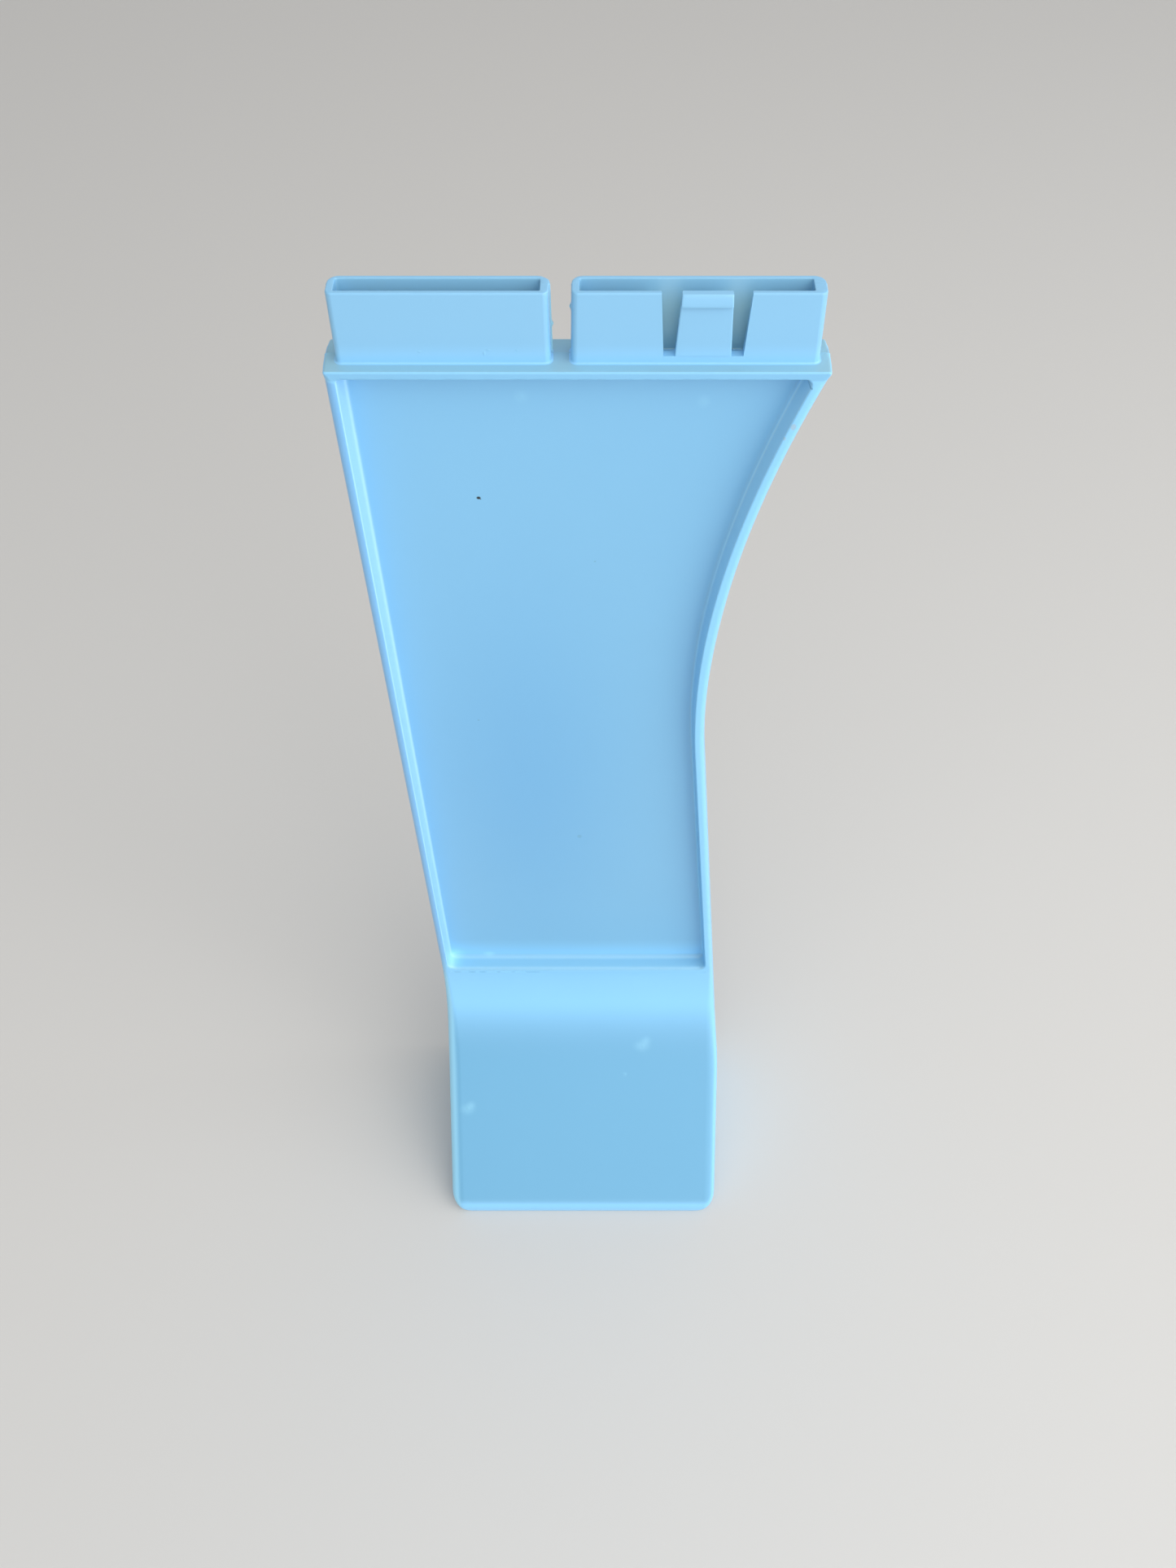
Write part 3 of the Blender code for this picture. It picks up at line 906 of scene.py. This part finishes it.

# pale spots, soft from their centres out: centre, size, strength
PALE = (0.4, 0.82, 1.0)
PALE_SPOTS = (
    # the first spot is a painted highlight in the recess's lower left corner, where the left wall
    # meets the ledge
    ((-36.2, -2.0, -207.6), (4.2, 5.0, 3.4), 0.75),
    ((21.4, -16.67, -238.4), (3.6, 3.4, 2.4), 0.24),
    ((22.7, -15.6, -237.0), (2.2, 3.0, 1.8), 0.2),
    ((16.11, -23.08, -245.59), (1.0, 1.2, 0.9), 0.16),
    ((-34.1, -30.85, -254.7), (3.4, 3.4, 2.4), 0.24),
    ((-32.9, -30.0, -253.6), (2.2, 3.0, 1.7), 0.2),
    ((-7.3, -0.3, -7.96), (1.9, 1.0, 1.9), 0.12),
    ((24.54, -0.3, -8.97), (1.6, 1.0, 1.8), 0.14),
    ((-25.6, -0.6, -207.8), (2.6, 3.0, 1.6), 0.5),
)

# raised blemishes: centre, size, height
HOLDER_BUMPS = (
    ((21.7, -16.67, -238.3), (0.7, 0.7, 0.7), 0.05),
    ((16.11, -23.08, -245.59), (0.6, 0.6, 0.6), 0.04),
    ((-34.02, -30.85, -254.44), (0.8, 0.8, 0.8), 0.05),
    ((-24.86, -28.62, -251.9), (0.6, 0.6, 0.6), 0.04),
    ((-7.3, -0.3, -7.96), (0.8, 0.8, 0.8), 0.04),
    ((24.54, -0.3, -8.97), (0.7, 0.7, 0.7), 0.04),
)
PLUG_BUMPS = (
    ((-23.65, -2.4, 2.26), (0.4, 0.5, 0.3), 0.05),
    ((-12.88, -2.4, 1.95), (0.3, 0.5, 0.6), 0.05),
    ((-12.2, -2.4, 2.6), (0.5, 0.5, 0.25), 0.05),
    ((-7.44, -2.4, 2.57), (0.3, 0.5, 0.22), 0.04),
)


class NodeKit:
    """A material's nodes, with channels for the place and the facing in the object's axes."""

    def __init__(self, name):
        self.material = bpy.data.materials.new(name)
        self.material.use_nodes = True
        self.tree = self.material.node_tree
        self.tree.nodes.clear()
        self.place = self.node("TexCoord").outputs["Object"]
        normal = self.node("TexCoord").outputs["Normal"]
        self.channels = {}
        for prefix, vector in (("", self.place), ("facing_", normal)):
            axes = self.node("SeparateXYZ", {0: vector}).outputs
            for axis in "XYZ":
                self.channels[prefix + axis.lower()] = axes[axis]

    def node(self, kind, inputs=None, **settings):
        """A new node. Inputs are sockets to link or values to set."""
        made = self.tree.nodes.new("ShaderNode" + kind)
        for name, value in settings.items():
            setattr(made, name, value)
        for key, value in (inputs or {}).items():
            if isinstance(value, bpy.types.NodeSocket):
                self.tree.links.new(value, made.inputs[key])
            else:
                made.inputs[key].default_value = value
        return made

    def maths(self, operation, a, b):
        return self.node("Math", {0: a, 1: b}, operation=operation).outputs[0]

    def vector_maths(self, operation, inputs):
        return self.node("VectorMath", inputs, operation=operation)

    def noise(self, scale, detail, roughness):
        inputs = {
            "Scale": scale, "Detail": detail, "Roughness": roughness, "Vector": self.place
        }
        return self.node("TexNoise", inputs).outputs["Fac"]

    def mix(self, factor, under, over):
        """Colour over laid on under, which is a colour or a socket."""
        if not isinstance(under, bpy.types.NodeSocket):
            under = (*under, 1)
        inputs = {"Factor": factor, "A": under, "B": (*over, 1)}
        return self.node("Mix", inputs, data_type="RGBA").outputs["Result"]

    def scaled(self, colour, factor):
        return self.vector_maths("SCALE", {0: colour, "Scale": factor}).outputs[0]

    def smooth_ramp(self, value, low, high, limits):
        inputs = {"From Min": low, "From Max": high, **limits, "Value": value}
        return self.node("MapRange", inputs, interpolation_type="SMOOTHSTEP").outputs[0]

    def ramp(self, channel, low, high, to_low=0.0, to_high=1.0):
        """Runs smoothly from to_low, where the channel is low, to to_high, where it is high."""
        limits = {"To Min": to_low, "To Max": to_high}
        return self.smooth_ramp(self.channels[channel], low, high, limits)

    def area(self, *parts):
        """The product of its parts: ramps, written as ramp's arguments, sockets and numbers."""
        factors = [self.ramp(*part) if isinstance(part, tuple) else part for part in parts]
        product = factors[0]
        for factor in factors[1:]:
            product = self.maths("MULTIPLY", product, factor)
        return product

    def blob(self, centre, size, core):
        """0 outside an ellipsoid, rising to 1 at core, a share of the way out from its centre."""
        centre, size = ([v * MM for v in values] for values in (centre, size))
        offset = self.vector_maths("SUBTRACT", {0: self.place, 1: centre}).outputs[0]
        share = self.vector_maths("DIVIDE", {0: offset, 1: size}).outputs[0]
        distance = self.vector_maths("LENGTH", {0: share}).outputs["Value"]
        return self.smooth_ramp(distance, 1.0, core, {})


def paint_holder_light_and_shade(kit, colour):
    """Paints light and shade into the colour. The thin walls, which let light through, are painted
    darker than the thick edges and corners, and some faces are painted lighter where the light
    falls on them and darker where it misses them.

    Each ramp is a channel, where the area starts and where it is full. Places are in metres."""
    area = kit.area
    to_front = area(("facing_y", -0.55, -0.97))
    # painted shade on the web, with the foot of the wall beside it on the left, down to the ledge
    web = area(("y", -0.0012, -0.0004), to_front)
    beside = area(("y", -0.0024, -0.0010), ("facing_y", -0.2, -0.75), ("x", -0.012, -0.02))
    web = area(kit.maths("MAXIMUM", web, beside), ("z", -0.2093, -0.1985))
    # painted shade on the lip's front, but not its rounded sides or the nose
    flat = area(("facing_x", 0.75, 0.2), ("facing_x", -0.75, -0.2), ("facing_z", -0.1, 0.1))
    lip = area(
        ("z", -0.2245, -0.2435), ("z", -0.2806, -0.2778), ("y", -0.0046, -0.0052), flat
    )
    # painted shade on the flange's top face, under the plugs, and on its front rim
    seat = area(("facing_z", 0.8, 0.98), 1.0, ("z", -0.001, -0.0005))
    flange_rim = area(("z", -0.0019, -0.0014), to_front)
    # painted light and shade on the ledge, and painted shade on its rounded edge to dim its
    # highlight
    near_ledge = area(("z", -0.2112, -0.2104), ("z", -0.2060, -0.2075), ("y", 0.0, -0.0003))
    ledge = area(near_ledge, ("facing_z", 0.15, 0.6))
    ledge_edge = area(near_ledge, ("facing_z", 0.05, 0.25), ("facing_z", 0.95, 0.7), 0.5)
    # the long left wall catches the light, and the rim beyond it turns away
    on_left = area(("x", -0.012, -0.02))
    left_wall = area(("facing_x", 0.25, 0.75), on_left, ("z", -0.212, -0.210))
    left_rim = area(
        ("facing_x", 0.45, 0.1),
        on_left,
        ("z", -0.2085, -0.200),
        ("z", -0.0018, -0.0024),
        ("y", -0.0026, -0.0036),
    )
    # painted shade over the middle of the web
    middle = area(kit.blob(MIDDLE_CENTRE, MIDDLE_SIZE, core=0.0), MIDDLE_STRENGTH)
    # painted light: the flared wall, which faces away from the light, is paler towards the flange,
    # and so is the foot's left edge
    flared_wall = area(
        ("facing_x", -0.62, -0.84), ("x", 0.0, 0.01), ("z", -0.085, -0.012), ("y", 0.0, -0.0004)
    )
    foot_left = area(("facing_x", -0.1, -0.5), ("z", -0.208, -0.216), ("facing_y", -0.02, -0.3))

    # the painted light and shade, as a factor on the colour here and as colours mixed in below
    shade = THICK_PAINTED_LIGHT_FACTOR
    for part, tone in (
        (web, WEB_PAINTED_SHADE_FACTOR), (lip, LIP_PAINTED_SHADE_FACTOR), (seat, SEAT_PAINTED_SHADE_FACTOR), (flange_rim, FLANGE_RIM_PAINTED_SHADE_FACTOR)
    ):
        shade = kit.maths("SUBTRACT", shade, area(part, THICK_PAINTED_LIGHT_FACTOR - tone))
    colour = kit.scaled(colour, shade)
    for part, tone in (
        (seat, SEAT_PAINTED_SHADE_COLOUR),
        (middle, MIDDLE_PAINTED_SHADE_COLOUR),
        (lip, LIP_PAINTED_SHADE_COLOUR),
        (ledge, LEDGE_PAINTED_LIGHTING_COLOUR),
        (ledge_edge, LEDGE_EDGE_PAINTED_SHADE_COLOUR),
        (left_wall, LEFT_WALL_PAINTED_HIGHLIGHT_COLOUR),
        (left_rim, LEFT_RIM_PAINTED_SHADE_COLOUR),
        (flared_wall, FLARED_WALL_PAINTED_LIGHT_COLOUR),
        (foot_left, FOOT_LEFT_PAINTED_LIGHT_COLOUR),
    ):
        colour = kit.mix(part, colour, tone)
    return colour


def paint_plug_light_and_shade(kit, colour):
    """Painted light where the walls stand on the thick seat, and greener painted shade in the
    pockets.
    """
    painted_glow = kit.area(("z", 0.0042, 0.0006), 0.12)
    colour = kit.scaled(colour, kit.maths("ADD", painted_glow, 1.0))
    # the pocket's painted shade weakens from 0.8 to 0.3 towards the rim
    pocket = kit.area(
        ("y", 0.0002, 0.0006), ("facing_y", -0.3, -0.8), ("z", 0.0075, 0.0125, 0.8, 0.3)
    )
    return kit.mix(pocket, colour, POCKET_PAINTED_SHADE_COLOUR)


def plastic(name, base, tint, marks, pale_spots, bumps):
    """Glossy blue plastic. The real plastic is slightly see-through, but subsurface scattering is
    left off.
    """
    kit = NodeKit(name)
    # even, with the slight clouding of the pigment
    clouding = 0.02
    colour = kit.mix(
        kit.noise(scale=24.0, detail=2.0, roughness=0.5),
        [c * (1 - clouding) for c in base],
        [c * (1 + clouding) for c in base],
    )
    # paints light and shade into the colour
    colour = tint(kit, colour)
    for centre, size, tone, strength in marks:
        colour = kit.mix(kit.area(kit.blob(centre, size, core=0.5), strength), colour, tone)
    for centre, size, strength in pale_spots:
        colour = kit.mix(kit.area(kit.blob(centre, size, core=0.0), strength), colour, PALE)

    # handled plastic, with faint wipe marks
    roughness = kit.node(
        "MapRange",
        {
            "From Min": 0.2,
            "From Max": 0.8,
            "To Min": 0.285,
            "To Max": 0.36,
            "Value": kit.noise(scale=34.0, detail=3.0, roughness=0.55),
        },
    ).outputs[0]

    heights = [kit.area(kit.blob(centre, size, core=0.0), rise) for centre, size, rise in bumps]
    height = heights[0]
    for one in heights[1:]:
        height = kit.maths("ADD", height, one)
    bump = kit.node("Bump", {"Strength": 1.0, "Distance": MM, "Height": height})

    surface = kit.node(
        "BsdfPrincipled",
        {
            "Base Color": colour,
            "Roughness": roughness,
            "Normal": bump.outputs[0],
            "IOR": 1.52,
            "Specular IOR Level": 0.5,
            "Subsurface Weight": 0.0,
            "Subsurface Radius": (0.7, 1.0, 1.25),
            "Subsurface Scale": 0.0008,
        },
    )
    kit.node("OutputMaterial", {0: surface.outputs[0]})
    return kit.material


# ---------------------------------------------------------------- holder


def dress(obj, material):
    """Gives a piece its material and normals that follow its larger faces."""
    obj.data.materials.append(material)
    even = obj.modifiers.new("even_normals", "WEIGHTED_NORMAL")
    even.mode = "FACE_AREA"
    even.weight = 80
    even.keep_sharp = True


def holder_pieces():
    body_plastic = plastic(
        "holder_gloss_plastic", BLUE, paint_holder_light_and_shade, HOLDER_MARKS, PALE_SPOTS, HOLDER_BUMPS
    )
    plug_plastic = plastic(
        "plug_gloss_plastic", PLUG_BLUE, paint_plug_light_and_shade, TONGUE_PAINTED_SHADOW, (), PLUG_BUMPS
    )
    holder = shell()
    left = LEFT_PLUG.build()
    right = RIGHT_PLUG.build()
    spring = tongue()

    dress(holder, body_plastic)
    for obj in (left, right, spring):
        dress(obj, plug_plastic)

    for obj in (holder, left, right):
        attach(obj, "holder")
    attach(spring, "latch")
    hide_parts("arm_panel", "end_foot", "mount_flange")
    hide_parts("left_plug")
    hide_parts("right_plug")
    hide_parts("latch_tongue")


# ---------------------------------------------------------------- studio

# name, degrees to the right of the front, degrees up, width in metres, watts
LIGHTS = (
    ("front_left_high", -30, 45, 0.8, 1.2),
    ("front_low", 10, 12, 0.8, 1.25),
    ("front_high", 10, 45, 0.8, 1.95),
    ("front_right_low", 45, 12, 0.8, 2.65),
    ("front_right_high", 45, 45, 0.8, 2.9),
    ("right_low", 80, 12, 0.8, 3.4),
    ("right_high", 80, 45, 0.8, 2.0),
    ("overhead", 20, 80, 1.2, 1.75),
)
LIGHTS_AIM = Vector((0, 0, -0.12))  # metres
LIGHTS_AWAY = 1.3  # metres
FLOOR_SIZE = 8.0  # metres
FLOOR_COLOUR = (0.66, 0.65, 0.63)
FLOOR_ROUGHNESS = 0.6

# the room's light: axis, range along it, and the factor at each end of the range
ROOM_STRENGTH = 0.63
ROOM_RAMPS = (
    ("X", -1.0, 1.0, 0.6 * ROOM_STRENGTH, 1.4 * ROOM_STRENGTH),  # brighter to the right
    ("Z", 0.0, 1.0, 1.12, 0.78),  # dimmer overhead
)

CAMERA_PLACE = (4.35, -181.4, 124.2)
CAMERA_DOWN = 53.58  # degrees below level
CAMERA_SENSOR = 36.0
CAMERA_LENS = 28.3030618


def add_floor():
    bpy.ops.mesh.primitive_plane_add(size=FLOOR_SIZE, location=(0, 0, FOOT_Z * MM))
    floor = bpy.context.object
    floor.name = "floor"
    material = bpy.data.materials.new("floor_pale")
    material.use_nodes = True
    shader = material.node_tree.nodes["Principled BSDF"]
    shader.inputs["Base Color"].default_value = (*FLOOR_COLOUR, 1)
    shader.inputs["Roughness"].default_value = FLOOR_ROUGHNESS
    floor.data.materials.append(material)


def add_light(name, degrees_right, degrees_up, size, power):
    data = bpy.data.lights.new(name, "AREA")
    data.shape = "RECTANGLE"
    data.size = data.size_y = size
    data.energy = power
    lamp = bpy.data.objects.new(name, data)
    right, up = math.radians(degrees_right), math.radians(degrees_up)
    towards = Vector(
        (math.sin(right) * math.cos(up), -math.cos(right) * math.cos(up), math.sin(up))
    )
    lamp.location = LIGHTS_AIM + towards * LIGHTS_AWAY
    lamp.rotation_euler = (-towards).to_track_quat("-Z", "Y").to_euler()
    bpy.context.scene.collection.objects.link(lamp)


def add_world():
    world = bpy.data.worlds.new("studio")
    bpy.context.scene.world = world
    world.use_nodes = True
    tree = world.node_tree
    background = tree.nodes["Background"]
    background.inputs["Color"].default_value = (1.0, 1.0, 1.0, 1)
    way = tree.nodes.new("ShaderNodeSeparateXYZ")
    tree.links.new(tree.nodes.new("ShaderNodeTexCoord").outputs["Generated"], way.inputs[0])
    strength = tree.nodes.new("ShaderNodeMath")
    strength.operation = "MULTIPLY"
    for i, (axis, *limits) in enumerate(ROOM_RAMPS):
        ramp = tree.nodes.new("ShaderNodeMapRange")
        for key, value in zip(("From Min", "From Max", "To Min", "To Max"), limits):
            ramp.inputs[key].default_value = value
        tree.links.new(way.outputs[axis], ramp.inputs["Value"])
        tree.links.new(ramp.outputs[0], strength.inputs[i])
    tree.links.new(strength.outputs[0], background.inputs["Strength"])


def add_camera():
    camera = bpy.data.cameras.new("camera")
    camera.sensor_fit = "VERTICAL"
    camera.sensor_height = CAMERA_SENSOR
    camera.lens = CAMERA_LENS
    camera.clip_start = 0.01
    eye = bpy.data.objects.new("camera", camera)
    eye.location = [v * MM for v in CAMERA_PLACE]
    eye.rotation_euler = (math.radians(90 - CAMERA_DOWN), 0, 0)
    bpy.context.scene.collection.objects.link(eye)
    bpy.context.scene.camera = eye


def set_view():
    view = bpy.context.scene.view_settings
    view.view_transform = "Standard"
    view.look = "None"
    view.exposure = 0.0
    view.gamma = 1.0


holder_pieces()
add_floor()
for light in LIGHTS:
    add_light(*light)
add_world()
add_camera()
set_view()
